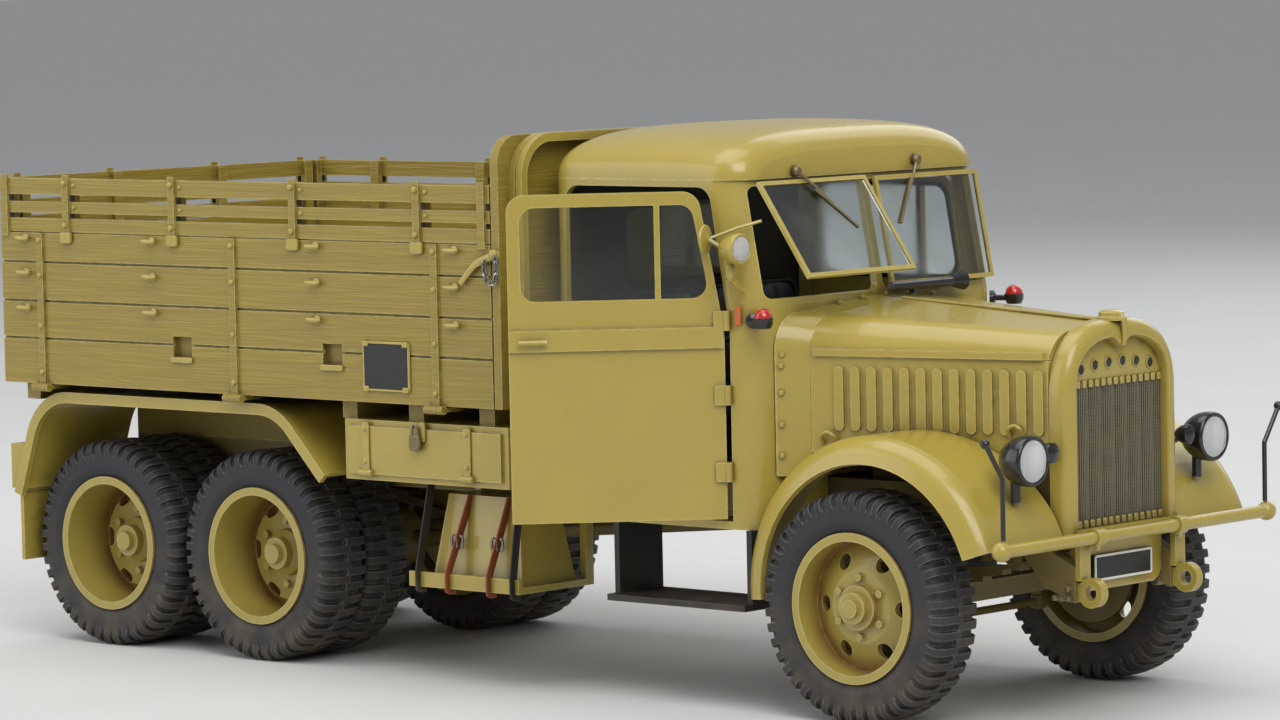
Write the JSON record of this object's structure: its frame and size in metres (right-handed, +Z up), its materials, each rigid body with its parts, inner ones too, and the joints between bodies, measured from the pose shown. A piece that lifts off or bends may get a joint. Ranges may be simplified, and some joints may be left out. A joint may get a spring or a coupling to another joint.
{
  "type": "scale model military cargo truck",
  "caption": "Six-wheeled cargo truck scale model with an enclosed cab, louvred bonnet, wooden drop-side body, opening doors, steering front wheels and twin rear wheels.",
  "frame": {"origin": "on the floor that the wheels stand on, below the middle of the truck's length and on its centreline", "axes": "+X forward, +Y to the truck's left, +Z up"},
  "size_m": [0.1734, 0.0747, 0.0709],
  "materials": {
    "paint": "worn satin olive yellow paint",
    "wood": "painted planks with open grain",
    "tyre": "matt rubber with dusty lugs",
    "glass": "clear",
    "lens": "clear, bright behind",
    "black": "gloss black",
    "chassis_paint": "dusty olive paint in shadow",
    "seat_leather": "worn dark leather",
    "plate": "blank black plate with a pale rim",
    "indicator_red": "clear red dome on a black foot",
    "grille_metal": "paint with dark wash in the mesh"
  },
  "bodies": {
    "truck": {"bed_floor": "wood", "bonnet_side_left": "paint", "bonnet_side_right": "paint", "bonnet_top": "paint", "bumper": "paint", "cab_body": "paint", "cab_inside": "paint", "cab_roof": "paint", "chassis_frame": "chassis_paint", "engine_gearbox": "chassis_paint", "exhaust": "chassis_paint", "front_axle": "chassis_paint", "front_fender_left": "paint", "front_fender_right": "paint", "grille": "grille_metal", "headboard": "wood", "headlamps": "black", "hoops": "paint", "horn": "black", "indicators": "indicator_red", "lamp_lenses": "lens", "leaf_springs": "chassis_paint", "lockers": "paint", "number_plate": "plate", "radiator_shell": "paint", "rear_axles": "chassis_paint", "rear_mudguards": "paint", "scuttle": "paint", "searchlight": "paint", "seat": "seat_leather", "steering_wheel": "black", "steps": "black", "tool_chest": "paint", "tow_hooks": "paint", "width_rods": "black", "window_glass": "glass", "windscreen_frames": "paint"},
    "knuckle_right": {"knuckle_right": "chassis_paint"},
    "knuckle_left": {"knuckle_left": "chassis_paint"},
    "track_rod": {"track_rod": "chassis_paint"},
    "wheel_front_right": {"tyre_front_right": "tyre", "rim_front_right": "paint"},
    "wheel_front_left": {"tyre_front_left": "tyre", "rim_front_left": "paint"},
    "wheel_mid_right": {"tyres_mid_right": "tyre", "rim_mid_right": "paint"},
    "wheel_mid_left": {"tyres_mid_left": "tyre", "rim_mid_left": "paint"},
    "wheel_rear_right": {"tyres_rear_right": "tyre", "rim_rear_right": "paint"},
    "wheel_rear_left": {"tyres_rear_left": "tyre", "rim_rear_left": "paint"},
    "door_right": {"door_right": "paint", "door_glass_right": "glass"},
    "door_left": {"door_left": "paint", "door_glass_left": "glass"},
    "side_right": {"side_right": "wood"},
    "side_left": {"side_left": "wood"},
    "tailgate": {"tailgate": "wood"}
  },
  "joints": [
    {"name": "steer_right", "type": "hinge", "parent": "truck", "child": "knuckle_right", "pos_m": [0.0625, -0.0184, 0.014], "axis": [0, 0, 1], "range_deg": [-28, 28]},
    {"name": "steer_left", "type": "hinge", "parent": "truck", "child": "knuckle_left", "pos_m": [0.0625, 0.0184, 0.014], "axis": [0, 0, 1], "range_deg": [-28, 28]},
    {"name": "track_rod_pivot", "type": "hinge", "parent": "knuckle_right", "child": "track_rod", "pos_m": [0.0555, -0.0184, 0.0097], "axis": [0, 0, 1], "range_deg": [-28, 28]},
    {"name": "roll_front_right", "type": "hinge", "parent": "knuckle_right", "child": "wheel_front_right", "pos_m": [0.0625, -0.0234, 0.014], "axis": [0, 1, 0], "continuous": true},
    {"name": "roll_front_left", "type": "hinge", "parent": "knuckle_left", "child": "wheel_front_left", "pos_m": [0.0625, 0.0234, 0.014], "axis": [0, 1, 0], "continuous": true},
    {"name": "roll_mid_right", "type": "hinge", "parent": "truck", "child": "wheel_mid_right", "pos_m": [-0.0403, -0.01887, 0.014], "axis": [0, 1, 0], "continuous": true},
    {"name": "roll_mid_left", "type": "hinge", "parent": "truck", "child": "wheel_mid_left", "pos_m": [-0.0403, 0.01887, 0.014], "axis": [0, 1, 0], "continuous": true},
    {"name": "roll_rear_right", "type": "hinge", "parent": "truck", "child": "wheel_rear_right", "pos_m": [-0.0695, -0.01887, 0.014], "axis": [0, 1, 0], "continuous": true},
    {"name": "roll_rear_left", "type": "hinge", "parent": "truck", "child": "wheel_rear_left", "pos_m": [-0.0695, 0.01887, 0.014], "axis": [0, 1, 0], "continuous": true},
    {"name": "door_right_hinge", "type": "hinge", "parent": "truck", "child": "door_right", "pos_m": [0.04155, -0.02445, 0.0385], "axis": [0, 0, 1], "range_deg": [-45, 15]},
    {"name": "door_left_hinge", "type": "hinge", "parent": "truck", "child": "door_left", "pos_m": [0.04155, 0.02445, 0.0385], "axis": [0, 0, -1], "range_deg": [0, 60]},
    {"name": "side_right_hinge", "type": "hinge", "parent": "truck", "child": "side_right", "pos_m": [-0.0387, -0.03085, 0.03535], "axis": [1, 0, 0], "range_deg": [0, 165]},
    {"name": "side_left_hinge", "type": "hinge", "parent": "truck", "child": "side_left", "pos_m": [-0.0387, 0.03085, 0.03535], "axis": [-1, 0, 0], "range_deg": [0, 165]},
    {"name": "tailgate_hinge", "type": "hinge", "parent": "truck", "child": "tailgate", "pos_m": [-0.08555, 0, 0.03535], "axis": [0, -1, 0], "range_deg": [0, 165]}
  ],
  "couplings": [
    {"joint": "steer_left", "follows": "steer_right", "ratio": 1},
    {"joint": "track_rod_pivot", "follows": "steer_right", "ratio": -1}
  ]
}
